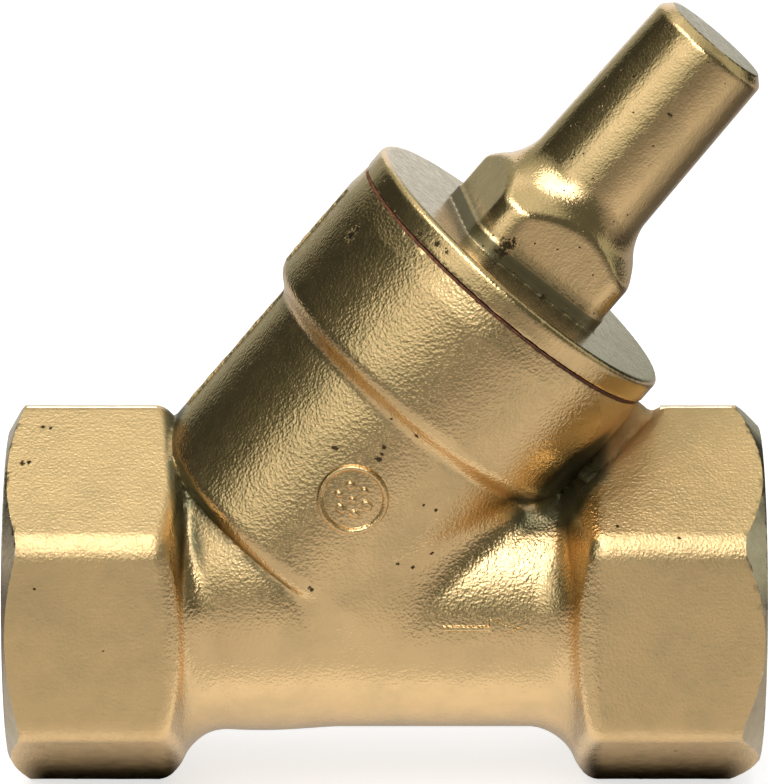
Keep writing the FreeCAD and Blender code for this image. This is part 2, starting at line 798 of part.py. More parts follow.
for inside, outside in (
    ("spring_base", "spring_base - cutter_margin"),
    ("spring_top", "spring_top + cutter_margin"),
):
    polygon(
        grinding_outline,
        [
            ("spring_mean_radius - cutter_margin", inside),
            ("spring_mean_radius + cutter_margin", inside),
            ("spring_mean_radius + cutter_margin", outside),
            ("spring_mean_radius - cutter_margin", outside),
        ],
    )
revolve(closing_spring, "ground_ends", grinding_outline, adds=False)

# Every object must be sound before the pieces are written.
doc.recompute()
faulty = [item.Name for item in doc.Objects if {"Invalid", "Error"} & set(item.State)]
pieces = [item for item in doc.Objects if item.TypeId == "PartDesign::Body"]
for piece in pieces:
    if piece.Shape.isNull() or not piece.Shape.isValid() or len(piece.Shape.Solids) != 1:
        faulty.append(piece.Label)
if faulty:
    raise RuntimeError(f"not sound: {faulty}")

os.makedirs("parts", exist_ok=True)
for piece in pieces:
    piece.Shape.exportStep(f"parts/{piece.Label}.step")
    box = piece.Shape.BoundBox
    spans = " x ".join(f"{span:.1f}" for span in (box.XLength, box.YLength, box.ZLength))
    print(f"{piece.Label}: {piece.Shape.Volume:.0f} mm3 in {spans} mm")
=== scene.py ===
# %% [markdown]
# # Angle seat non-return valve
# A forged brass valve for a one-inch pipe. Two threaded hexagon ends lie on one line, and a neck
# leans downstream from the run. A bonnet is screwed into the neck, and behind it a spring holds
# the disc on its seat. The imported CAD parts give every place. This lesson dresses them.

# %% Load the frame
import math
from functools import cached_property

import bmesh
import bpy
import numpy as np
from mathutils import Matrix, Vector


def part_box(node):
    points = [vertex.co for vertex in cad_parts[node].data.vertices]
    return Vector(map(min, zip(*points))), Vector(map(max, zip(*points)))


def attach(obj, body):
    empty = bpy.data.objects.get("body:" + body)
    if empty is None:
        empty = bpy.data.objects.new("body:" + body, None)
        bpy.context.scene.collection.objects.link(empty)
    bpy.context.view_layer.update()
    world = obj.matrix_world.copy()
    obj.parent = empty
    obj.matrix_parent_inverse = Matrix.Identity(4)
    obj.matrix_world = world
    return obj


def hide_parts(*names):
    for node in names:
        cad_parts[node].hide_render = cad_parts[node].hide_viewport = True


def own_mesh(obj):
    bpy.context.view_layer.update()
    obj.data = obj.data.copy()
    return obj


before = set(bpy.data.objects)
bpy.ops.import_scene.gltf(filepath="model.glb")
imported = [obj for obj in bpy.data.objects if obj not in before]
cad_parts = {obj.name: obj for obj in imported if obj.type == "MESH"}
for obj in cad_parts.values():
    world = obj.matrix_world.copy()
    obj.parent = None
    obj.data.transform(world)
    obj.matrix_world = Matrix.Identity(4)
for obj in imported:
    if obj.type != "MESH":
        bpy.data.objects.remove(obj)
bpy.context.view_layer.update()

MM = 0.001
print("CAD nodes:", ", ".join(sorted(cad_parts)))

# %% [markdown]
# ## Driving sizes
# The forging is made again here with soft blends, so its main sizes are written down once, in
# millimetres. The outer ends come from the frame itself, so the two can't drift apart.

# %% Driving sizes in millimetres
body_low, body_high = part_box("valve_body")
RUN = (body_high.x - body_low.x) / MM
HEX_FLAT = 20.5
HEX_CORNER = HEX_FLAT / math.cos(math.radians(30))
HALF_LAND = 0.7
LAND_TOP = HEX_CORNER - HALF_LAND * math.tan(math.radians(30))
DIE_EDGE = 1.9
INLET_LENGTH = 19.0
OUTLET_LENGTH = 20.4
INLET_SHOULDER = 64
OUTLET_SHOULDER = 66
SHOULDER_ROUND = 1.4
INLET_FACE = 19.8
INLET_RIM_SLOPE = 30
OUTLET_FACE = 20.2
OUTLET_RIM_SLOPE = 44
TUBE = 16.0
CROSSING = 27.0
LEAN = math.radians(50)
NECK = 19.4
NECK_FLOOR = 8.4
NECK_ROUND = 3.0
COLLAR = 21.6
COLLAR_ROUND = 2.6
COLLAR_ROOT = 1.3
COLLAR_START = 33.3
COLLAR_TOP = 50.0
BEVEL = 0.3
BEVEL_HEIGHT = 2.6
PORT = 16.62
PORT_DEPTH = 17.0
MOUTH_CHAMFER = 0.6
WATERWAY = 13.0
X_WAY, Y_WAY = np.eye(3)[:2]
NECK_WAY = np.array([math.cos(LEAN), 0, math.sin(LEAN)])
ACROSS_WAY = np.array([math.sin(LEAN), 0, -math.cos(LEAN)])
CROSSING_POINT = CROSSING * X_WAY
print(f"run {RUN:.1f} mm long, hexagon {2 * HEX_FLAT:.0f} mm across flats")

# %% [markdown]
# ## Blends as distances
# A forging has no sharp inner corner: the metal has to flow into the die. Fillets between a
# leaning cylinder and a hexagon are hard to draw by hand, but easy to write as distances. Each
# simple shape says how far a point is from its skin, negative inside. Two shapes join in a round
# of a known radius where both distances are small.

# %% Joining and cutting distances
def joined(first, second, radius):
    """Union of two shapes with a concave round between them."""
    corner = np.hypot(np.maximum(radius - first, 0), np.maximum(radius - second, 0))
    return np.maximum(radius, np.minimum(first, second)) - corner


def met(first, second, radius):
    """Overlap of two shapes with a convex round where their skins meet."""
    corner = np.hypot(np.maximum(radius + first, 0), np.maximum(radius + second, 0))
    return np.minimum(-radius, np.maximum(first, second)) + corner


def slope(along, across, through_along, through_across, degrees):
    """Distance to a straight turned flank that passes a point, its face tilted from the axis."""
    turn = math.radians(degrees)
    rise = (along - through_along) * math.sin(turn)
    return rise + (across - through_across) * math.cos(turn)


def ramp(value, low, high):
    """Smooth step from 0 to 1."""
    share = np.clip((value - low) / (high - low), 0, 1)
    return share * share * (3 - 2 * share)


def neck_axes(x, z):
    """Distance along the neck from the crossing, and across it in the upright plane."""
    along = (x - CROSSING) * math.cos(LEAN) + z * math.sin(LEAN)
    across = (x - CROSSING) * math.sin(LEAN) - z * math.cos(LEAN)
    return along, across


# %% [markdown]
# ## Meshing the distance
# The blend has to become a mesh. A grid of small cells is laid over it. Each cell that the skin
# passes through gets one point, set where the local tangent planes meet, so that turned edges
# stay crisp and blends stay smooth. This is known as dual contouring.

# %% Mesh from a distance
def edge_crossings(values, axis):
    """Grid edges along an axis whose two ends lie on different sides of the skin."""
    change = np.diff(values < 0, axis=axis)
    for other in {0, 1, 2} - {axis}:
        np.moveaxis(change, other, 0)[[0, -1]] = False
    index = np.argwhere(change)
    after = index + np.eye(3, dtype=int)[axis]
    return index, values[tuple(index.T)], values[tuple(after.T)]


def gradients(distance, points, reach):
    """Unit normals of the distance at points, from four probes each."""
    probes = np.array([[1, -1, -1], [-1, -1, 1], [-1, 1, -1], [1, 1, 1]], float)
    total = np.zeros_like(points)
    for probe in probes:
        at = points + probe * reach
        total += probe * distance(*at.T)[:, None]
    return total / np.maximum(np.linalg.norm(total, axis=1, keepdims=True), 1e-12)


def skin_points(distance, low, cell, values):
    """Crossings of all grid edges with the skin: the edge's cell, axis, way and place."""
    found = []
    for axis in range(3):
        index, start, end = edge_crossings(values, axis)
        share = start / (start - end)
        near, far = np.zeros(len(share)), np.ones(len(share))
        value_near, value_far = start.astype(float), end.astype(float)
        for _ in range(3):
            place = low + index * cell
            place[:, axis] += share * cell
            here = distance(*place.T)
            same = (here < 0) == (value_near < 0)
            near = np.where(same, share, near)
            value_near = np.where(same, here, value_near)
            far = np.where(same, far, share)
            value_far = np.where(same, value_far, here)
            share = near + (far - near) * value_near / (value_near - value_far)
        place = low + index * cell
        place[:, axis] += share * cell
        found.append((index, start < 0, place))
    return found


def contour(distance, low, high, cell):
    """Points and triangles, in millimetres, of the skin where the distance is zero."""
    low = np.array(low, float)
    counts = np.ceil((np.array(high, float) - low) / cell).astype(int) + 1
    grid = [low[i] + cell * np.arange(counts[i]) for i in range(3)]
    x, y, z = np.meshgrid(*grid, indexing="ij", sparse=True)
    values = distance(x, y, z) + np.zeros(counts)
    crossings = skin_points(distance, low, cell, values)
    places = np.concatenate([place for _, _, place in crossings])
    normals = gradients(distance, places, 0.02)
    corners = []
    for axis, (index, _, _) in enumerate(crossings):
        first, second = [i for i in range(3) if i != axis]
        around = []
        for step_first, step_second in ((0, 0), (1, 0), (1, 1), (0, 1)):
            cell_index = index.copy()
            cell_index[:, first] -= step_first
            cell_index[:, second] -= step_second
            around.append(np.ravel_multi_index(tuple(cell_index.T), counts))
        corners.append(np.stack(around, 1))
    corner_ids = np.concatenate(corners)
    cells, owner = np.unique(corner_ids, return_inverse=True)
    owner = owner.reshape(corner_ids.shape)
    centres = low + (np.stack(np.unravel_index(cells, counts), 1) + 0.5) * cell
    points = centres + cell_points(owner, centres, places, normals, cell)
    faces = []
    offset = 0
    for axis, (index, starts_inside, _) in enumerate(crossings):
        ring = owner[offset : offset + len(index)]
        offset += len(index)
        flip = starts_inside == (axis == 1)
        faces.append(np.where(flip[:, None], ring[:, ::-1], ring))
    quads = np.concatenate(faces)
    return points, split_quads(distance, points, quads)


def cell_points(owner, centres, places, normals, cell):
    """Where the tangent planes of each cell's crossings meet, kept inside the cell."""
    matrix = np.zeros((len(centres), 3, 3))
    right = np.zeros((len(centres), 3))
    mass = np.zeros((len(centres), 3))
    count = np.zeros(len(centres))
    for side in range(4):
        cell_of = owner[:, side]
        offset = places - centres[cell_of]
        level = (normals * offset).sum(1)
        count += np.bincount(cell_of, minlength=len(centres))
        for i in range(3):
            mass[:, i] += np.bincount(cell_of, offset[:, i], len(centres))
            right[:, i] += np.bincount(cell_of, normals[:, i] * level, len(centres))
            for j in range(3):
                product = normals[:, i] * normals[:, j]
                matrix[:, i, j] += np.bincount(cell_of, product, len(centres))
    mass /= count[:, None]
    pull = 0.02 * count
    matrix += pull[:, None, None] * np.eye(3)
    right += pull[:, None] * mass
    solved = np.linalg.solve(matrix, right[:, :, None])[:, :, 0]
    return np.clip(solved, -0.5 * cell, 0.5 * cell)


def split_quads(distance, points, quads):
    """Each four-sided face cut along the diagonal that lies closer to the skin."""
    away = []
    for one, other in ((0, 2), (1, 3)):
        middle = (points[quads[:, one]] + points[quads[:, other]]) / 2
        away.append(np.abs(distance(*middle.T)))
    straight = (away[0] <= away[1])[:, None]
    first = np.where(straight, quads[:, [0, 1, 2]], quads[:, [0, 1, 3]])
    second = np.where(straight, quads[:, [0, 2, 3]], quads[:, [1, 2, 3]])
    return np.concatenate([first, second])


def mesh_object(name, points, faces, materials):
    """An object from points in metres."""
    mesh = bpy.data.meshes.new(name)
    mesh.from_pydata(points, [], faces)
    for material in materials:
        mesh.materials.append(material)
    mesh.update()
    thing = bpy.data.objects.new(name, mesh)
    bpy.context.scene.collection.objects.link(thing)
    return thing


def mesh_piece(name, points, faces, materials, sharp_degrees=32):
    """A smooth-shaded piece from points in millimetres, its hard edges kept."""
    piece = mesh_object(name, (np.asarray(points) * MM).tolist(), faces, materials)
    mesh = piece.data
    mesh.polygons.foreach_set("use_smooth", np.ones(len(mesh.polygons), bool))
    mesh.set_sharp_from_angle(angle=math.radians(sharp_degrees))
    print(f"{name}: {len(mesh.vertices)} points, {len(mesh.polygons)} faces")
    return piece


# %% [markdown]
# ## The forged body
# Hot forging presses a brass slug between two dies that part in the upright plane. The run tube,
# the hexagon ends, the neck and its collar are one lump, and every inner corner is soft. The die
# edges of the hexagons are round, and the flash is trimmed to a narrow land at top and bottom.

# %% Hexagon ends
def hexagon_bar(y, z):
    side, height = np.abs(y), np.abs(z)
    flats = side - HEX_FLAT
    slants = side * 0.5 + height * math.sqrt(0.75) - HEX_FLAT
    return np.maximum(met(flats, slants, DIE_EDGE), height - LAND_TOP)


def hexagon_end(x, y, z, length, shoulder):
    """One hexagon end, x counted from its own face, with the turned slope of its rim."""
    behind = slope(x, np.hypot(y, z), length, HEX_CORNER, shoulder)
    return met(hexagon_bar(y, z), behind, SHOULDER_ROUND)


# %% Neck and collar
def pot(along, across, y):
    """A cylinder with a rounded floor rim, under a wider one that is bevelled at its top."""
    reach = np.hypot(across, y)
    neck = met(reach - NECK, NECK_FLOOR - along, NECK_ROUND)
    collar = met(reach - COLLAR, COLLAR_START - along, COLLAR_ROUND)
    tilt = math.degrees(math.atan2(BEVEL, BEVEL_HEIGHT))
    collar = np.maximum(collar, slope(along, reach, COLLAR_TOP, COLLAR - BEVEL, tilt))
    return np.maximum(joined(neck, collar, COLLAR_ROOT), along - COLLAR_TOP)


# %% Valley beside the collar
VALLEY = 23.8
VALLEY_FLOOR = 38.0
VALLEY_ROUND = 1.1
WEB = 1.5
WEB_TOP = 49.2
WEB_ROOT = 0.5


def valley_cut(run, along, across, y):
    """The dies leave a round valley behind the collar, and a web across it where they part."""
    valley = np.maximum(np.hypot(across, y) - VALLEY, VALLEY_FLOOR - along)
    kept = met(run, -valley, VALLEY_ROUND)
    web = np.maximum(np.abs(y) - WEB, np.maximum(along - WEB_TOP, VALLEY_FLOOR - 1 - along))
    web = np.maximum(web, np.maximum(COLLAR - 1 - across, across - VALLEY - 1))
    return joined(kept, web, WEB_ROOT)


# %% The whole forging
HOUSING = 18.0
HOUSING_HEIGHT = 5.0
HOUSING_ROOT = 4.0


def forging(x, y, z):
    along, across = neck_axes(x, z)
    tube = np.hypot(y, z) - TUBE
    housing = np.sqrt(across**2 + y**2 + (along - HOUSING_HEIGHT) ** 2) - HOUSING
    barrel = joined(tube, housing, HOUSING_ROOT)
    cove = 3.5 - 2.5 * ramp(z, 2, 12)
    run = joined(barrel, hexagon_end(x, y, z, INLET_LENGTH, INLET_SHOULDER), cove)
    outlet = hexagon_end(RUN - x, y, z, OUTLET_LENGTH, OUTLET_SHOULDER)
    run = joined(run, outlet, cove)
    run = valley_cut(run, along, across, y)
    soft = 0.35 + 3.0 * ramp(across, 1, 9)
    soft = np.maximum(soft * (1 - ramp(along, 33, 37)), 0.3)
    return joined(run, pot(along, across, y), soft)


# %% [markdown]
# ## Machined faces
# After forging, a lathe faces both ports, turns a slope on each hexagon rim and bores the
# waterway. The neck is bored from its open end down to the raised seat lip.

# %% Turned faces and bores
def faced_end(near, reach, face_radius, degrees):
    """Positive where facing a port and sloping its rim took metal off."""
    turn = math.radians(degrees)
    rim = (reach - face_radius) * math.sin(turn) - near * math.cos(turn)
    return np.maximum(rim, -near)


def port_bore(near, reach):
    """One port, counted from its face: mouth chamfer, threaded length and the step inwards."""
    flare = (reach + near - PORT - MOUTH_CHAMFER) * math.sqrt(0.5)
    mouth = np.maximum(flare, near - MOUTH_CHAMFER)
    step = slope(near, reach, PORT_DEPTH, PORT, 60)
    return np.minimum(mouth, np.maximum(reach - PORT, step))


SEAT = 12.5
SEAT_HEIGHT = 12.5
LIP = SEAT + 1.6
LIP_FOOT = 11.0
CHAMBER = 16.2
COVER_THREAD = 18.0
COVER_DEPTH = 12
OUTLET_BORE_START = 46.5


def bores(x, y, z):
    along, across = neck_axes(x, z)
    reach = np.hypot(y, z)
    turned = np.hypot(across, y)
    ports = port_bore(np.minimum(x, RUN - x), reach)
    inlet = np.maximum(reach - WATERWAY, x - CROSSING)
    outlet = np.maximum(reach - WATERWAY, OUTLET_BORE_START - x)
    elbow = np.sqrt((x - CROSSING) ** 2 + y * y + z * z) - WATERWAY
    seat = np.maximum(turned - SEAT, -along)
    gutter = np.maximum(np.maximum(turned - CHAMBER, LIP - turned), LIP_FOOT - along)
    chamber = np.maximum(turned - CHAMBER, SEAT_HEIGHT - along)
    cover = np.maximum(turned - COVER_THREAD, COLLAR_TOP - COVER_DEPTH - along)
    run = np.minimum(np.minimum(ports, inlet), np.minimum(outlet, elbow))
    neck = np.minimum(np.minimum(seat, gutter), np.minimum(chamber, cover))
    return np.minimum(run, neck)


def machining(x, y, z):
    """Positive where the cutters have been."""
    reach = np.hypot(y, z)
    inlet = faced_end(x, reach, INLET_FACE, INLET_RIM_SLOPE)
    outlet = faced_end(RUN - x, reach, OUTLET_FACE, OUTLET_RIM_SLOPE)
    return np.maximum(np.maximum(inlet, outlet), -bores(x, y, z))


def body_distance(x, y, z):
    return np.maximum(forging(x, y, z), machining(x, y, z))


# %% [markdown]
# ## The photograph's view
# The camera stands where the photograph's perspective puts it. Its numbers come first, because
# chips and pits are marked in this view, in pixels across and down. Each one is then looked
# up on the skin along its line of sight.

# %% Camera numbers, lengths in millimetres
ELEVATION = math.radians(14.47)
STAND_OFF = 726.8
IMAGE_RISE = 24.28
IMAGE_SHIFT = -0.03
FOCAL_PIXELS = 6027.7
IMAGE_WIDTH = 768
IMAGE_HEIGHT = 784
BACK = np.array([0.0, -math.cos(ELEVATION), math.sin(ELEVATION)])
UP = np.array([0.0, math.sin(ELEVATION), math.cos(ELEVATION)])
EYE = RUN / 2 * X_WAY + BACK * STAND_OFF + UP * IMAGE_RISE + X_WAY * IMAGE_SHIFT
CLEAR_OF_ALL = 640.0
SIGHT_STEPS = 120
CAREFUL = 0.7


def seen_places(distance, spots):
    """Spots given by pixel and radius, moved along their lines of sight until they meet a skin."""
    across, down, radius = np.array(spots, float).T
    sight = (across - IMAGE_WIDTH / 2)[:, None] * X_WAY + (IMAGE_HEIGHT / 2 - down)[:, None] * UP
    sight = sight / FOCAL_PIXELS - BACK
    sight /= np.linalg.norm(sight, axis=1, keepdims=True)
    place = EYE + sight * CLEAR_OF_ALL
    for _ in range(SIGHT_STEPS):
        place += CAREFUL * distance(*place.T)[:, None] * sight
    print(f"{len(spots)} spots, at most {np.abs(distance(*place.T)).max():.4f} mm off the skin")
    return np.column_stack([place, radius]).tolist()


# %% [markdown]
# ## Brass
# Shot-blasted brass is metal all through, so its colour is the colour of its reflections. Peening
# leaves fine dimples, a few pits and a slightly uneven tarnish. Faces cut on the lathe are
# smoother and paler, with rings left by the tool.

# %% Material helpers
class Shop:
    """Adds nodes to one material or world and wires them in the order they are made."""

    def __init__(self, owner, shader="ShaderNodeBsdfPrincipled", output="ShaderNodeOutputMaterial"):
        owner.use_nodes = True
        self.owner = owner
        self.tree = owner.node_tree
        self.tree.nodes.clear()
        self.shader = self.node(shader)
        self.feed(self.node(output).inputs["Surface"], self.shader.outputs[0])

    @cached_property
    def place(self):
        return self.node("ShaderNodeTexCoord").outputs["Object"]

    def node(self, kind, **settings):
        made = self.tree.nodes.new(kind)
        for key, value in settings.items():
            setattr(made, key, value)
        return made

    def feed(self, socket, value):
        """Give a socket a fixed value, or a wire from another node."""
        if isinstance(value, (int, float, tuple)):
            socket.default_value = value
        else:
            self.tree.links.new(value, socket)

    def shade(self, **values):
        """Feed inputs of the shader, with _ for the space in a name, and hand the owner over."""
        for name, value in values.items():
            self.feed(self.shader.inputs[name.replace("_", " ")], value)
        return self.owner

    def attribute(self, name):
        return self.node("ShaderNodeAttribute", attribute_name=name).outputs["Fac"]

    def parts(self, place):
        split = self.node("ShaderNodeSeparateXYZ")
        self.feed(split.inputs[0], place)
        return list(split.outputs)

    def towards(self, direction):
        """How far a place lies along a direction, in metres."""
        dot = self.node("ShaderNodeVectorMath", operation="DOT_PRODUCT")
        self.feed(dot.inputs[0], self.place)
        self.feed(dot.inputs[1], tuple(direction))
        return dot.outputs["Value"]

    def neck_place(self, stretch):
        """Coordinates on the neck's own axes, with lengths along the neck divided by a stretch."""
        turned = self.node("ShaderNodeCombineXYZ")
        for socket, way in zip(turned.inputs, (ACROSS_WAY, Y_WAY, NECK_WAY / stretch)):
            self.feed(socket, self.towards(way))
        return turned.outputs[0]

    def stretched(self, factor):
        """Object coordinates whose lengths along the run are divided by a factor."""
        mapped = self.node("ShaderNodeMapping")
        self.feed(mapped.inputs["Scale"], (1 / factor, 1, 1))
        self.feed(mapped.inputs["Vector"], self.place)
        return mapped.outputs[0]

    def pits(self, spots):
        """1 inside small irregular pits, each given by its place and radius in millimetres."""
        ragged = self.curve(self.noise(0.4, 3, 0.7), 0.25, 0.75, -1.0, 1.0, smooth=False)
        insides = []
        for x, y, z, radius in spots:
            gap = self.node("ShaderNodeVectorMath", operation="DISTANCE")
            self.feed(gap.inputs[0], self.place)
            self.feed(gap.inputs[1], (x * MM, y * MM, z * MM))
            share = self.times(gap.outputs["Value"], 1 / (radius * MM))
            insides.append(self.curve(self.math("ADD", share, ragged), 0.55, 0.95, 1, 0))
        return self.math("MAXIMUM", *insides)

    def noise(self, size_mm, detail=2.0, roughness=0.5, place=None):
        made = self.node("ShaderNodeTexNoise")
        self.feed(made.inputs["Scale"], 1 / (size_mm * MM))
        self.feed(made.inputs["Detail"], detail)
        self.feed(made.inputs["Roughness"], roughness)
        self.feed(made.inputs["Vector"], place or self.place)
        return made.outputs["Fac"]

    def cells(self, size_mm):
        made = self.node("ShaderNodeTexVoronoi")
        self.feed(made.inputs["Scale"], 1 / (size_mm * MM))
        self.feed(made.inputs["Vector"], self.place)
        return made.outputs["Distance"]

    def curve(self, value, low, high, first=0.0, last=1.0, smooth=True):
        kind = "SMOOTHSTEP" if smooth else "LINEAR"
        made = self.node("ShaderNodeMapRange", interpolation_type=kind)
        numbers = (value, low, high, first, last)
        for name, number in zip(("Value", "From Min", "From Max", "To Min", "To Max"), numbers):
            self.feed(made.inputs[name], number)
        return made.outputs["Result"]

    def math(self, operation, first, *others):
        """A value worked out from one input, or from several, taken in one after another."""
        for second in others or (0.0,):
            made = self.node("ShaderNodeMath", operation=operation)
            self.feed(made.inputs[0], first)
            self.feed(made.inputs[1], second)
            first = made.outputs[0]
        return first

    def times(self, *values):
        return self.math("MULTIPLY", *values)

    def blend(self, share, first, second):
        made = self.node("ShaderNodeMix", data_type="RGBA")
        self.feed(made.inputs["Factor"], share)
        for name, value in (("A", first), ("B", second)):
            self.feed(made.inputs[name], (*value, 1) if isinstance(value, tuple) else value)
        return made.outputs["Result"]

    def bump(self, height, depth_mm, under=None):
        made = self.node("ShaderNodeBump")
        self.feed(made.inputs["Distance"], depth_mm * MM)
        self.feed(made.inputs["Height"], height)
        if under:
            self.feed(made.inputs["Normal"], under)
        return made.outputs["Normal"]


# %% Shot-blasted brass
BRASS = (0.82, 0.57, 0.285)
BRASS_DULL = (0.71, 0.505, 0.255)
# Dark brass for the painted shade in the creases
BRASS_PAINTED_SHADE = (0.22, 0.19, 0.105)
CHIP = (0.09, 0.065, 0.035)

# Given in pixels across and down in the photograph's view, with radius in millimetres
COLLAR_CHIP = ((351, 235, 0.8), (357, 229, 0.5))
NECK_SCAR = ((378, 459, 0.4), (381, 454, 0.3), (384, 448, 0.4))
NECK_SPOTS = ((335, 448, 0.35), (391, 419, 0.22), (416, 436, 0.3), (229, 435, 0.22))
CREASE_SPOTS = ((424, 505, 0.2), (436, 510, 0.2), (432, 553, 0.22))
RUN_SPOTS = ((398, 564, 0.22), (413, 567, 0.28), (311, 589, 0.35))
INLET_EDGE = ((22, 463, 0.4), (29, 462, 0.3), (43, 427, 0.4), (51, 428, 0.25))
INLET_SPOTS = ((34, 589, 0.2), (103, 651, 0.15))
OUTLET_SPOTS = ((618, 526, 0.25), (679, 538, 0.22), (676, 751, 0.25))
NECK_MARKS = COLLAR_CHIP + NECK_SCAR + NECK_SPOTS + CREASE_SPOTS
END_MARKS = INLET_EDGE + INLET_SPOTS + OUTLET_SPOTS
BODY_PITS = seen_places(body_distance, NECK_MARKS + RUN_SPOTS + END_MARKS)


def blasted_brass():
    """The forging's skin: peened all over, flatter on the wrench ends, with painted shade in its
    creases.
    """
    shop = Shop(bpy.data.materials.new("blasted_brass"))
    crease = shop.attribute("crease")
    from_middle = shop.math("SUBTRACT", shop.towards(X_WAY), RUN / 2 * MM)
    from_middle = shop.math("ABSOLUTE", from_middle)
    ends = shop.curve(from_middle, 24.5 * MM, 26.5 * MM)
    tarnish = shop.curve(shop.noise(7, 4, 0.65), 0.38, 0.72)
    metal = shop.blend(tarnish, BRASS, BRASS_DULL)
    # Painted shade: where other metal stands close, the colour darkens towards dark brass, but not
    # on the hexagon ends
    crease_shade = shop.math("ADD", crease, shop.curve(shop.noise(1.2, 3), 0.3, 0.7, -0.02, 0.02))
    shade_in_middle = shop.curve(from_middle, 25.5 * MM, 27.5 * MM, 1, 0)
    crease_shade = shop.times(shop.curve(crease_shade, 0.05, 0.5), shade_in_middle)
    shaded_metal = shop.blend(crease_shade, metal, BRASS_PAINTED_SHADE)
    pits = shop.pits(BODY_PITS)
    sheen = shop.curve(shop.noise(1.5, 3), 0.3, 0.7, 0.17, 0.25)
    satin = shop.times(ends, 0.2)
    dull = shop.times(shop.math("MAXIMUM", crease, pits), 0.3)
    swell = shop.bump(shop.noise(4, 1), 0.05)
    peened = shop.bump(shop.cells(0.42), 0.04, swell)
    grain = shop.bump(shop.noise(0.25, 1, 0.5), 0.04, peened)
    drawn = shop.times(shop.noise(0.35, 2, 0.5, shop.stretched(14)), ends)
    scratched = shop.bump(drawn, 0.02, grain)
    return shop.shade(
        Metallic=1.0,
        Base_Color=shop.blend(pits, shaded_metal, CHIP),
        Roughness=shop.math("ADD", sheen, satin, dull),
        Normal=shop.bump(shop.math("SUBTRACT", 1.0, pits), 0.15, scratched),
    )


# %% Turned brass
def turned_brass():
    """Fresh cuts: paler, smooth and dry, with the fine lines of the tool."""
    shop = Shop(bpy.data.materials.new("turned_brass"))
    shine = shop.curve(shop.noise(3, 4, 0.6), 0.3, 0.7)
    return shop.shade(
        Metallic=1.0,
        Base_Color=shop.blend(shine, (0.80, 0.66, 0.46), (0.68, 0.55, 0.37)),
        Roughness=shop.curve(shop.noise(0.8, 3), 0.3, 0.7, 0.22, 0.3),
        Normal=shop.bump(shop.noise(0.25, 2), 0.006),
    )


BLASTED = blasted_brass()
TURNED = turned_brass()


# %% Creases
CREASE_REACH = 4.0


def mark_creases(piece, distance, points):
    """Store how much other metal stands close in front of each point of the skin, for the painted
    shade of its creases.
    """
    ahead = points + gradients(distance, points, 0.05) * CREASE_REACH
    clear = distance(*ahead.T) / CREASE_REACH
    paint_shade(piece, np.clip(1 - clear, 0, 1))


def paint_shade(piece, share):
    """Store how much painted shade darkens each point, or all of them by one share."""
    shares = np.broadcast_to(share, len(piece.data.vertices)).astype(np.float32)
    piece.data.attributes.new("crease", "FLOAT", "POINT").data.foreach_set("value", shares)


# %% Build the forged body
CELL = 0.55
CUT_MARGIN = 0.06
points, faces = contour(body_distance, (-0.9, -22.5, -24.3), (90.9, 22.5, 53.1), CELL)
points = np.clip(points, np.array(body_low) / MM, np.array(body_high) / MM)
forged_body = mesh_piece("forged_body", points, faces.tolist(), [BLASTED, TURNED])
mark_creases(forged_body, body_distance, points)
middles = points[faces].mean(1)
cut = np.abs(machining(*middles.T)) < CUT_MARGIN
forged_body.data.polygons.foreach_set("material_index", cut.astype(np.int32))
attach(forged_body, "valve")
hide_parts("valve_body")

# %% [markdown]
# ## The bonnet
# The bonnet is turned from a forging: a round flange, a square wrench head whose corners are
# rounded and cut back by a cone, and a long closed boss that guides the stem.

# %% Bonnet sizes and shape
FLANGE = 21.4
FLANGE_BASE = 50.3
FLANGE_TOP = 53.4
HEAD = 9.8
HEAD_CORNER = 3.7
HEAD_TURN = math.radians(10.6)
MILLED_STEP = 0.2
MILLED_FROM = 55.3
CONE_END = 64.1
BOSS_ROOT = 8.05
BOSS_END = 7.65
BOSS_CHAMFER = 1.1
BONNET_TOP = 88.8
SPIGOT = 17.9
SPIGOT_BASE = 39.0
POCKET = 13.0
POCKET_CORE = 7.52
POCKET_ROOF = 47.5
BUSH_SEAT = 5.52
BUSH_ROOF = 59.0
STEM_BORE = 4.6
STEM_ROOF = 85.8


def head_prism(x, y):
    """Square with rounded corners, turned to where the screwed cover came to a stop."""
    along = np.abs(x * math.cos(HEAD_TURN) + y * math.sin(HEAD_TURN)) - (HEAD - HEAD_CORNER)
    across = np.abs(y * math.cos(HEAD_TURN) - x * math.sin(HEAD_TURN)) - (HEAD - HEAD_CORNER)
    outside = np.hypot(np.maximum(along, 0), np.maximum(across, 0))
    return outside + np.minimum(np.maximum(along, across), 0) - HEAD_CORNER


def bonnet_outside(x, y, height):
    reach = np.hypot(x, y)
    taper = (BOSS_ROOT - BOSS_END) / (BONNET_TOP - CONE_END)
    boss = reach - (BOSS_ROOT - (height - CONE_END) * taper)
    boss = met(boss, slope(height, reach, BONNET_TOP, BOSS_END - BOSS_CHAMFER, 45), 0.25)
    boss = np.maximum(boss, height - BONNET_TOP)
    cone = slope(height, reach, CONE_END, BOSS_ROOT, 45)
    unmilled = MILLED_STEP * ramp(MILLED_FROM - height, -0.35, 0.35)
    head = met(head_prism(x, y) - unmilled, cone, 0.5)
    flange = met(reach - FLANGE, height - FLANGE_TOP, 0.8)
    flange = met(flange, FLANGE_BASE - height, 0.4)
    spigot = np.maximum(np.maximum(reach - SPIGOT, SPIGOT_BASE - height), height - FLANGE_TOP)
    upper = joined(joined(head, boss, 1.8), flange, 0.35)
    solid = np.minimum(upper, spigot)
    return np.where(height < FLANGE_BASE, np.maximum(spigot, height - FLANGE_TOP), solid)


def bonnet_bores(x, y, height):
    reach = np.hypot(x, y)
    pocket = np.maximum(np.maximum(reach - POCKET, POCKET_CORE - reach), height - POCKET_ROOF)
    bush = np.maximum(reach - BUSH_SEAT, height - BUSH_ROOF)
    bore = np.maximum(reach - STEM_BORE, height - STEM_ROOF)
    return np.minimum(np.minimum(pocket, bush), bore)


def bonnet_distance(x, y, height):
    return np.maximum(bonnet_outside(x, y, height), -bonnet_bores(x, y, height))


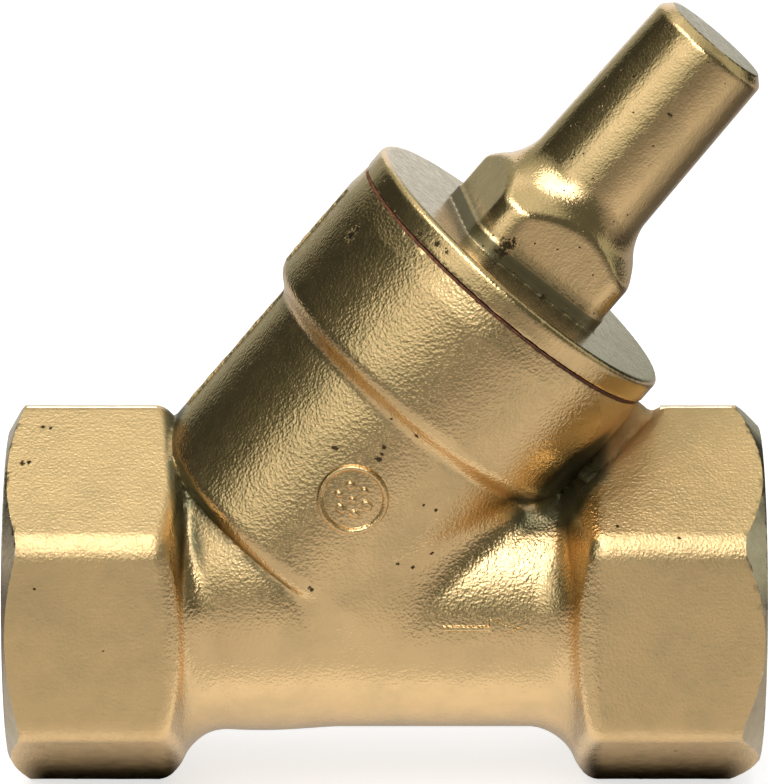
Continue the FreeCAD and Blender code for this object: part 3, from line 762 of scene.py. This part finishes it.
# %% Bright brass of the bonnet
def leaning_bonnet(x, y, z):
    """The bonnet's distance where it sits, on the leaning neck."""
    along, across = neck_axes(x, z)
    return bonnet_distance(across, y, along)


# Given the same way, in pixels and millimetres
HEAD_FOOT = ((508, 246, 0.9), (502, 252, 0.8), (514, 242, 0.5))
BOSS_SPOTS = ((634, 76, 0.3), (670, 115, 0.35), (667, 25, 0.25), (577, 124, 0.25))
FLANGE_RIM = ((421, 234, 0.5), (437, 244, 0.45), (446, 253, 0.3))
FLANGE_FACE = ((543, 297, 0.45),)
BONNET_PITS = seen_places(leaning_bonnet, HEAD_FOOT + BOSS_SPOTS + FLANGE_RIM + FLANGE_FACE)


def bright_brass():
    """The cover's skin: smoother than the body, drawn along its length and finely pitted."""
    shop = Shop(bpy.data.materials.new("bright_brass"))
    crease = shop.attribute("crease")
    streaks = shop.noise(0.45, 3, 0.6, shop.neck_place(3))
    tarnish = shop.curve(shop.noise(5, 4, 0.65), 0.35, 0.75)
    metal = shop.blend(tarnish, BRASS, BRASS_DULL)
    # Painted shade: the bonnet's creases darken towards the same dark brass
    shaded_metal = shop.blend(shop.curve(crease, 0.2, 0.6), metal, BRASS_PAINTED_SHADE)
    specks = shop.curve(shop.cells(1.1), 0.07, 0.14, 1, 0)
    specks = shop.times(specks, shop.curve(shop.noise(2.3, 1), 0.5, 0.58))
    pits = shop.math("MAXIMUM", shop.pits(BONNET_PITS), specks)
    sheen = shop.curve(streaks, 0.3, 0.7, 0.14, 0.22)
    dull = shop.times(shop.math("MAXIMUM", crease, pits), 0.3)
    swell = shop.bump(shop.noise(3, 1), 0.05)
    drawn = shop.bump(streaks, 0.03, swell)
    grain = shop.bump(shop.noise(0.3, 1), 0.035, drawn)
    return shop.shade(
        Metallic=1.0,
        Base_Color=shop.blend(pits, shaded_metal, CHIP),
        Roughness=shop.math("ADD", sheen, dull),
        Normal=shop.bump(shop.math("SUBTRACT", 1.0, pits), 0.12, grain),
    )


BRIGHT = bright_brass()

# %% Build the bonnet
BONNET_CELL = 0.38


def lean_points(points):
    """Upright points, in millimetres, moved onto the leaning neck."""
    return points @ np.array([ACROSS_WAY, Y_WAY, NECK_WAY]) + CROSSING_POINT


upright, faces = contour(bonnet_distance, (-22, -22, 38), (22, 22, 90), BONNET_CELL)
cover_low, cover_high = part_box("bonnet")
placed = np.clip(lean_points(upright), np.array(cover_low) / MM, np.array(cover_high) / MM)
bonnet = mesh_piece("bonnet_cover", placed, faces.tolist(), [BRIGHT, TURNED])
mark_creases(bonnet, bonnet_distance, upright)
middles = upright[faces].mean(1)
level = middles[:, 2]
flat_top = (np.abs(level - FLANGE_TOP) < 0.05) | (np.abs(level - BONNET_TOP) < 0.05)
inner = (np.abs(bonnet_bores(*middles.T)) < CUT_MARGIN) | (level < FLANGE_BASE - 0.2)
bonnet.data.polygons.foreach_set("material_index", (flat_top | inner).astype(np.int32))
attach(bonnet, "valve")
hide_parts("bonnet")

# %% [markdown]
# ## Flash, marks and threads
# Small things tell how the valve was made. A thin ridge of flash runs where the dies parted. A
# round foundry mark, meaningless here, and a flow arrow were sunk into the die, so they stand
# proud. The ports carry a right-hand pipe thread, cut after the forging.

# %% Ridges
def bar_faces(count, sides):
    """Faces of a closed bar, whose points come in rings of so many sides."""
    faces = [tuple(reversed(range(sides))), tuple(range(count - sides, count))]
    for start in range(0, count - sides, sides):
        for side in range(sides):
            after = (side + 1) % sides
            faces.append((start + side, start + after, start + sides + after, start + sides + side))
    return faces


def ridge(name, centres, outward, sideways, base, tip, height, sink, material):
    """A closed bar that follows a line on a skin: half widths at base and tip, in millimetres."""
    height = np.broadcast_to(height, len(centres))[:, None]
    rows = (
        centres - sideways * base - outward * sink,
        centres - sideways * tip + outward * height,
        centres + sideways * tip + outward * height,
        centres + sideways * base - outward * sink,
    )
    points = np.stack(rows, 1).reshape(-1, 3)
    return closed_piece(name, points, bar_faces(len(points), 4), material)


def closed_piece(name, points, faces, material):
    """A small piece of one material with all its faces turned outwards."""
    piece = mesh_piece(name, points, faces, [material], 40)
    shell = bmesh.new()
    shell.from_mesh(piece.data)
    bmesh.ops.recalc_face_normals(shell, faces=shell.faces)
    shell.to_mesh(piece.data)
    shell.free()
    return piece


# %% Flash on the hexagons
FLASH = 0.45
FLASH_FOOT = 0.7
FLASH_TOP = -body_low.z / MM
chance = np.random.default_rng(7)


def wander(count, low, high):
    """Heights that change slowly from place to place."""
    knots = chance.uniform(low, high, count // 5 + 2)
    return np.interp(np.linspace(0, len(knots) - 1, count), np.arange(len(knots)), knots)


def hexagon_flash(name, start, end, way):
    steps = 40
    along = np.linspace(start, end, steps)
    centres = np.stack([along, np.zeros(steps), np.full(steps, way * LAND_TOP)], 1)
    outward = np.array([0.0, 0.0, way])
    height = wander(steps, 0.6, 1.0) * (FLASH_TOP - LAND_TOP)
    height[steps // 3] = FLASH_TOP - LAND_TOP
    return ridge(name, centres, outward, Y_WAY, FLASH_FOOT, FLASH, height, 0.3, TURNED)


flash = [
    hexagon_flash("inlet_flash_top", 2.3, 17.8, 1),
    hexagon_flash("inlet_flash_bottom", 2.3, 17.8, -1),
    hexagon_flash("outlet_flash_top", 78.0, 86.5, 1),
    hexagon_flash("outlet_flash_bottom", 71.0, 86.5, -1),
]

# %% Flash along the back of the neck
def neck_flash(name, start, end, reach):
    steps = 60
    along = np.linspace(start, end, steps)[:, None]
    centres = CROSSING_POINT + along * NECK_WAY - reach * ACROSS_WAY
    height = wander(steps, 0.1, 0.26)
    return ridge(name, centres, -ACROSS_WAY, Y_WAY, 0.5, 0.25, height, 0.2, BLASTED)


for name, start, end, reach in (
    ("neck_flash", 14.5, 33.0, NECK),
    ("collar_flash", 35.8, 47.0, COLLAR),
):
    flash.append(neck_flash(name, start, end, reach))
    # An even share of painted shade over the whole ridge
    paint_shade(flash[-1], 0.12)


# %% Raised marks
def raised_mark(name, skin, outward, height, material):
    """A closed patch from grids of skin points, their outward ways and heights."""
    points = skin + outward * height[..., None]
    rows, columns = height.shape
    index = np.arange(rows * columns).reshape(rows, columns)
    faces = np.stack([index[:-1, :-1], index[1:, :-1], index[1:, 1:], index[:-1, 1:]], -1)
    rim = np.concatenate([index[0, :-1], index[:-1, -1], index[-1, :0:-1], index[:0:-1, 0]])
    faces = [tuple(face) for face in faces.reshape(-1, 4).tolist()] + [tuple(rim.tolist())]
    return closed_piece(name, points.reshape(-1, 3), faces, material)


SUNK = 0.08
MARK_STEP = 0.11
MARK_HALF = 4.7
MARK_RING = 3.85
MARK_HEIGHT = 22.3
PETALS = 6
PETAL_RING = 1.75
ARROW_START, ARROW_END = 51.9, 61.0
SHAFT_END, HEAD_START = 58.0, 57.4
SHAFT_HALF, HEAD_HALF = 0.32, 1.25


def roundel():
    """A ring round a worn rosette of bumps that means nothing, on the front of the neck."""
    marks = np.arange(-MARK_HALF, MARK_HALF + MARK_STEP, MARK_STEP)
    around, along = np.meshgrid(marks, marks, indexing="ij")
    reach = np.hypot(around, along)
    height = 0.5 * ramp(0.52 - np.abs(reach - MARK_RING), 0.0, 0.42)
    for petal in range(PETALS + 1):
        turn = 2 * math.pi * petal / PETALS + 0.3
        out = PETAL_RING if petal < PETALS else 0.0
        size = chance.uniform(0.6, 0.9)
        gap = np.hypot(around - out * math.cos(turn), (along - out * math.sin(turn)) * 1.2)
        height = np.maximum(height, 0.38 * ramp(size - gap, 0.0, 0.45))
    height = height - SUNK
    angle = around / NECK
    outward = np.sin(angle)[..., None] * ACROSS_WAY - np.cos(angle)[..., None] * Y_WAY
    skin = CROSSING_POINT + (MARK_HEIGHT + along)[..., None] * NECK_WAY + NECK * outward
    return raised_mark("foundry_roundel", skin, outward, height, BLASTED)


def flow_arrow():
    """Points along the run, the way the water goes."""
    run = np.arange(51.4, 61.6, MARK_STEP)
    arc = np.arange(-1.8, 1.8 + MARK_STEP, MARK_STEP)
    along, around = np.meshgrid(run, arc, indexing="ij")
    shaft = np.maximum(ARROW_START - along, along - SHAFT_END)
    shaft = np.maximum(np.abs(around) - SHAFT_HALF, shaft)
    narrowing = (ARROW_END - along) / (ARROW_END - HEAD_START)
    head = np.maximum(HEAD_START - along, np.abs(around) - HEAD_HALF * narrowing)
    height = 0.38 * ramp(0.16 - np.minimum(shaft, head), 0.0, 0.3) - SUNK
    angle = math.radians(1.4) + around / TUBE
    outward = np.stack([np.zeros_like(angle), -np.cos(angle), np.sin(angle)], -1)
    skin = along[..., None] * X_WAY + TUBE * outward
    return raised_mark("flow_arrow", skin, outward, height, BLASTED)


marks = [roundel(), flow_arrow()]
# Each raised mark gets an even share of painted shade
for mark in marks:
    paint_shade(mark, 0.075)

# %% Port threads
PITCH = 2.309
THREAD_STEPS = 60
THREAD_HEIGHT = 1.42
THREAD_FOOT = 1.06
THREAD_CREST = 0.28
THREAD_START = 1.9
THREAD_END = 15.4


def port_thread(name, start, end):
    """A right-hand ridge: its angle about the run grows as it goes along the run."""
    count = int(abs(end - start) / PITCH * THREAD_STEPS)
    along = np.linspace(start, end, count)
    angle = 2 * math.pi * along / PITCH
    radial = np.stack([np.zeros(count), np.cos(angle), np.sin(angle)], 1)
    centres = radial * (PORT + 0.02)
    centres[:, 0] = along
    from_end = np.minimum(along - along.min(), along.max() - along)
    height = THREAD_HEIGHT * ramp(from_end, -0.3, 1.8)
    return ridge(name, centres, -radial, X_WAY, THREAD_FOOT, THREAD_CREST, height, 0.1, TURNED)


threads = [
    port_thread("inlet_thread", THREAD_START, THREAD_END),
    port_thread("outlet_thread", RUN - THREAD_END, RUN - THREAD_START),
]
for piece in flash + marks + threads:
    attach(piece, "valve")

# %% [markdown]
# ## Materials of the small parts
# The gasket is pressed fibre, the seal is rubber, the bush is a slippery plastic and the spring,
# stem and washers are stainless steel.

# %% Small parts' materials
def plain_finish(name, light, dark, grain_mm, rough, metallic=0.0, depth_mm=0.02):
    shop = Shop(bpy.data.materials.new(name))
    grain = shop.noise(grain_mm, 4, 0.6)
    return shop.shade(
        Metallic=metallic,
        Base_Color=shop.blend(shop.curve(grain, 0.3, 0.7), light, dark),
        Roughness=shop.curve(grain, 0.3, 0.7, rough - 0.06, rough + 0.06),
        Normal=shop.bump(shop.noise(grain_mm / 2, 2), depth_mm),
    )


FIBRE = plain_finish("gasket_fibre", (0.20, 0.07, 0.025), (0.06, 0.02, 0.01), 0.5, 0.7)
RUBBER = plain_finish("seal_rubber", (0.022, 0.022, 0.022), (0.035, 0.035, 0.036), 0.8, 0.55)
BUSH = plain_finish("bush_plastic", (0.80, 0.79, 0.75), (0.72, 0.71, 0.67), 1.5, 0.4)
STEEL = plain_finish("stainless_steel", (0.62, 0.61, 0.59), (0.5, 0.49, 0.48), 1.0, 0.28, 1.0, 0.01)
FINISHES = {
    "bonnet_gasket": FIBRE,
    "guide_bush": BUSH,
    "disc_seal": RUBBER,
    "disc_carrier": TURNED,
    "retaining_nut": TURNED,
    "stem": STEEL,
    "spring_washer": STEEL,
    "seal_retainer": STEEL,
    "lock_washer": STEEL,
}
for node, finish in FINISHES.items():
    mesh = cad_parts[node].data
    mesh.materials.clear()
    mesh.materials.append(finish)
print("finished nodes:", len(FINISHES))

# %% [markdown]
# ## Closing spring
# The spring is wound from round wire, with one closed turn at each end. In the valve it shortens as
# the disc lifts, its lower end riding up with the disc and its upper end staying on the washer;
# here it is wound at one length.

# %% Wind the spring
SPRING_BASE = 19.5
SPRING_TOP = 46.45
SPRING_RADIUS = 10.0
WIRE = 0.6
TURNS = 9


def wire_rise(turn):
    """Height of the wire's middle: closed end turns, an even rise between them."""
    length = SPRING_TOP - SPRING_BASE - 2 * WIRE
    pitch = (length - 4 * WIRE) / (TURNS - 2)
    knots = (0, 1, TURNS - 1, TURNS)
    levels = (0, 2 * WIRE, 2 * WIRE + pitch * (TURNS - 2), length)
    return SPRING_BASE + WIRE + np.interp(turn, knots, levels)


def spring_mesh(steps_per_turn=48, sides=12):
    turn = np.linspace(0, TURNS, TURNS * steps_per_turn + 1)
    angle = 2 * math.pi * turn
    side = 2 * math.pi * np.arange(sides) / sides
    reach = SPRING_RADIUS + WIRE * np.cos(side)
    height = wire_rise(turn)[:, None] + WIRE * np.sin(side)
    x = np.cos(angle)[:, None] * reach
    y = np.sin(angle)[:, None] * reach
    points = np.stack([x, y, height], -1).reshape(-1, 3)
    faces = bar_faces(len(points), sides)
    return closed_piece("wound_spring", lean_points(points), faces, STEEL)


spring = spring_mesh()
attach(spring, "spring")
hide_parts("closing_spring")
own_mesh(spring)

# %% [markdown]
# ## Studio
# Blasted metal shows the room around it, so the light is set by what the valve can see. It stands
# in a light tent: one large soft light high at the left, dim walls at eye level and a pale table.

# %% Tent helpers
AIM = (RUN / 2 * MM, 0, 0)
TENT_RADIUS = 0.8
OPEN_BEARING = 164


def stage_object(name, points, faces, material):
    thing = mesh_object(name, points, faces, [material])
    return thing


def only_in_reflections(card):
    card.visible_camera = False
    card.visible_shadow = False
    card.visible_diffuse = False


def window(shop, value, low, high, edge):
    """1 between low and high, falling to 0 over an edge on both sides."""
    rise = shop.curve(value, low - edge, low + edge)
    fall = shop.curve(value, high - edge, high + edge, 1, 0)
    return shop.times(rise, fall)


def rectangle(half_length, half_width):
    """Corners of a flat rectangle round the origin, in metres."""
    return [(x * half_length, y * half_width, 0) for x, y in ((-1, -1), (1, -1), (1, 1), (-1, 1))]


# %% Light tent
def tent_material():
    """The cloth's glow by bearing and height, both in degrees."""
    shop = Shop(bpy.data.materials.new("tent_cloth"), "ShaderNodeEmission")
    x, y, z = shop.parts(shop.place)
    bearing = shop.times(shop.math("ARCTAN2", x, shop.times(y, -1.0)), math.degrees(1))
    height = shop.times(shop.math("ARCSINE", shop.times(z, 1 / TENT_RADIUS)), math.degrees(1))
    over_edge = shop.math("SUBTRACT", height, shop.curve(bearing, -85, -25, 14, 0))
    left_box = shop.times(window(shop, bearing, -84, 8, 6), shop.curve(over_edge, 46, 56))
    left_box = shop.times(left_box, shop.curve(height, 80, 88, 3.0, 1.2))
    front_box = shop.times(window(shop, bearing, -17, 13, 4), shop.curve(height, 13, 40))
    front_box = shop.times(front_box, shop.curve(height, 80, 89, 4.0, 1.6))
    low_glow = shop.times(window(shop, bearing, -56, 8, 14), shop.curve(height, -3, 11))
    low_glow = shop.times(low_glow, shop.curve(height, 14, 26, 0.8, 1.15))
    low_glow = shop.times(low_glow, shop.curve(height, 32, 44, 1.0, 0.45))
    right_wall = shop.times(window(shop, bearing, 76, 112, 8), 0.5)
    back_wall = shop.times(shop.curve(bearing, -146, -138, 1, 0), 0.4)
    walls = shop.curve(bearing, -110, -50, 0.05, 0.12)
    walls = shop.times(walls, shop.curve(bearing, 112, 125, 1.0, 0.25))
    walls = shop.math("MAXIMUM", walls, shop.times(shop.curve(bearing, 148, 156), 0.42))
    upper = shop.times(shop.curve(height, 38, 58), 0.38)
    ceiling = shop.times(shop.curve(height, 56, 72), 0.34)
    total = shop.math("ADD", walls, shop.math("ADD", upper, ceiling))
    total = shop.math("MAXIMUM", total, right_wall, back_wall, low_glow, left_box, front_box)
    weave = shop.curve(shop.noise(150, 2), 0.3, 0.7, 0.95, 1.05)
    tint = shop.blend(shop.curve(total, 0.1, 1.6), (0.9, 1.0, 0.84), (1.0, 1.0, 1.0))
    return shop.shade(Strength=shop.times(total, weave), Color=tint)


def direction(bearing, height):
    """The way to a bearing and height in degrees: 0 is in front, and right is positive."""
    turn, tilt = math.radians(bearing), math.radians(height)
    level = math.cos(tilt)
    return Vector((level * math.sin(turn), -level * math.cos(turn), math.sin(tilt)))


def tent_mesh():
    """A dome of cloth, open at the back, where the pale backdrop shows."""
    points, faces = [], []
    bearings = range(-180, 181, 5)
    heights = range(-2, 91, 4)
    for height in heights:
        for bearing in bearings:
            points.append(tuple(TENT_RADIUS * direction(bearing, height)))
    wide = len(bearings)
    for row in range(len(heights) - 1):
        for column in range(wide - 1):
            at_back = abs(bearings[column] + 2.5) > OPEN_BEARING and heights[row] < 40
            if not at_back:
                first = row * wide + column
                faces.append((first, first + 1, first + 1 + wide, first + wide))
    return points, faces


tent = stage_object("light_tent", *tent_mesh(), tent_material())
tent.location = AIM
only_in_reflections(tent)


# %% Table
def outside_painted_shadow(shop, x, y):
    """Painted contact shadow of the table, as openness: 0 where a hexagon touches it, 1 away from
    it, a little less behind the valve.
    """
    past_tube = shop.math("SUBTRACT", shop.math("ABSOLUTE", x), 0.026)
    under_end = window(shop, past_tube, -0.003, 0.018, 0.003)
    beside = shop.math("ABSOLUTE", y)
    gap = shop.curve(beside, 0.003, 0.011, 0.0, 0.65)
    gap = shop.math("ADD", gap, shop.curve(beside, 0.011, 0.024, 0.0, 0.35))
    closed = shop.times(under_end, shop.math("SUBTRACT", 1.0, gap))
    behind = shop.times(shop.curve(y, -0.008, 0.008), window(shop, beside, -1, 0.03, 0.02))
    closed = shop.math("MAXIMUM", closed, shop.times(behind, 0.4))
    return shop.math("SUBTRACT", 1.0, closed)


def camera_rays(shop):
    """1 for rays straight from the camera, and 1 for those that metal or glass sent on too."""
    paths = shop.node("ShaderNodeLightPath").outputs
    straight = paths["Is Camera Ray"]
    sent_on = (paths["Is Glossy Ray"], paths["Is Transmission Ray"])
    return straight, shop.math("MAXIMUM", straight, *sent_on)


def table_material():
    """Pale card that glows white for the camera, with the valve's soft shadow from the lamps, and
    for other rays a painted shadow under and behind the valve.
    """
    shop = Shop(bpy.data.materials.new("table_card"))
    x, y, _ = shop.parts(shop.place)
    mottle = shop.curve(shop.noise(300, 2), 0.3, 0.7, 0.59, 0.61)
    straight, seen = camera_rays(shop)
    # Painted shadow: rays that do not come straight from the camera see the table darkened under
    # and behind the valve
    painted_shadow_level = shop.math("MAXIMUM", straight, shop.times(outside_painted_shadow(shop, x, y), 0.82))
    card = shop.node("ShaderNodeCombineColor")
    for socket in list(card.inputs)[:3]:
        shop.feed(socket, shop.times(mottle, painted_shadow_level))
    return shop.shade(
        Base_Color=card.outputs[0],
        Roughness=0.9,
        Specular_IOR_Level=0.1,
        Emission_Color=(1, 1, 1, 1),
        Emission_Strength=shop.times(seen, painted_shadow_level, 0.66),
    )


def table_shade_material():
    """What the metal sees of the table: pale close by, dim towards the walls."""
    shop = Shop(bpy.data.materials.new("table_shade"), "ShaderNodeEmission")
    x, y, _ = shop.parts(shop.place)
    squares = []
    for place, half in ((x, RUN / 2), (y, HEX_FLAT)):
        past = shop.math("SUBTRACT", shop.math("ABSOLUTE", place), half * MM)
        squares.append(shop.math("POWER", shop.math("MAXIMUM", past, 0.0), 2.0))
    away = shop.math("SQRT", shop.math("ADD", *squares))
    near = shop.curve(away, 0.065, 0.13, 0.72, 0.46)
    far = shop.curve(away, 0.12, 0.25, 0.0, 0.18)
    strength = shop.math("SUBTRACT", near, far)
    strength = shop.times(strength, shop.curve(y, -0.01, 0.03, 1.0, 0.34))
    strength = shop.math("MAXIMUM", strength, shop.curve(y, 0.06, 0.18, 0.0, 0.7))
    strength = shop.times(strength, shop.curve(x, -0.035, -0.005, 0.88, 1.0))
    under_outlet = window(shop, x, 0.022, 0.048, 0.006)
    under_outlet = shop.times(under_outlet, shop.curve(y, -0.2, -0.12, 0.0, 0.2))
    strength = shop.math("SUBTRACT", strength, shop.times(under_outlet, strength))
    right = shop.times(shop.curve(x, 0.03, 0.07), shop.curve(y, -0.05, -0.02))
    strength = shop.times(strength, shop.curve(right, 0.0, 1.0, 1.0, 0.6))
    return shop.shade(Strength=strength, Color=(1, 0.98, 0.93, 1))


TABLE_REACH = 3.0
SHADE_REACH = 0.9
table = stage_object("table", rectangle(TABLE_REACH, TABLE_REACH), [(0, 1, 2, 3)], table_material())
table.location = (AIM[0], 0, body_low.z)
shade_points = rectangle(0.047, 0.024) + rectangle(SHADE_REACH, SHADE_REACH)
shade_faces = [(0, 4, 5, 1), (1, 5, 6, 2), (2, 6, 7, 3), (3, 7, 4, 0)]
shade_card = stage_object("table_shade", shade_points, shade_faces, table_shade_material())
shade_card.location = (AIM[0], 0, body_low.z + 0.0002)
only_in_reflections(shade_card)

# %% World and lamps
AMBIENT = 0.55
BACKDROP = 1.0
world = bpy.data.worlds.new("studio")
bpy.context.scene.world = world
shop = Shop(world, "ShaderNodeMixShader", "ShaderNodeOutputWorld")
shop.feed(shop.shader.inputs["Fac"], camera_rays(shop)[1])
for socket, strength in zip(list(shop.shader.inputs)[1:], (AMBIENT, BACKDROP)):
    light = shop.node("ShaderNodeBackground")
    shop.feed(light.inputs["Color"], (1, 1, 1, 1))
    shop.feed(light.inputs["Strength"], strength)
    shop.feed(socket, light.outputs[0])


def add_lamp(name, bearing, height, distance, size, power):
    """A soft lamp whose own image the metal doesn't show, because the tent stands for it."""
    data = bpy.data.lights.new(name, "AREA")
    data.size = size
    data.energy = power
    lamp = bpy.data.objects.new(name, data)
    bpy.context.scene.collection.objects.link(lamp)
    towards = direction(bearing, height)
    lamp.location = Vector(AIM) + towards * distance
    lamp.rotation_euler = towards.to_track_quat("Z", "Y").to_euler()
    lamp.visible_glossy = False


add_lamp("key_softbox", -34, 50, 0.7, 0.6, 3.0)
add_lamp("top_softbox", 20, 85, 0.7, 0.6, 1.5)

# %% Camera
SENSOR = 36
camera_data = bpy.data.cameras.new("camera")
camera_data.sensor_width = SENSOR
camera_data.lens = FOCAL_PIXELS * SENSOR / IMAGE_HEIGHT
camera_data.clip_start = 0.01
camera = bpy.data.objects.new("camera", camera_data)
bpy.context.scene.collection.objects.link(camera)
turn = Matrix((X_WAY.tolist(), UP.tolist(), BACK.tolist())).transposed().to_4x4()
camera.matrix_world = Matrix.Translation((EYE * MM).tolist()) @ turn
bpy.context.scene.camera = camera
bpy.context.scene.view_settings.view_transform = "Standard"
print(f"lens {camera_data.lens:.1f} mm, camera at {EYE.round(1).tolist()} mm")
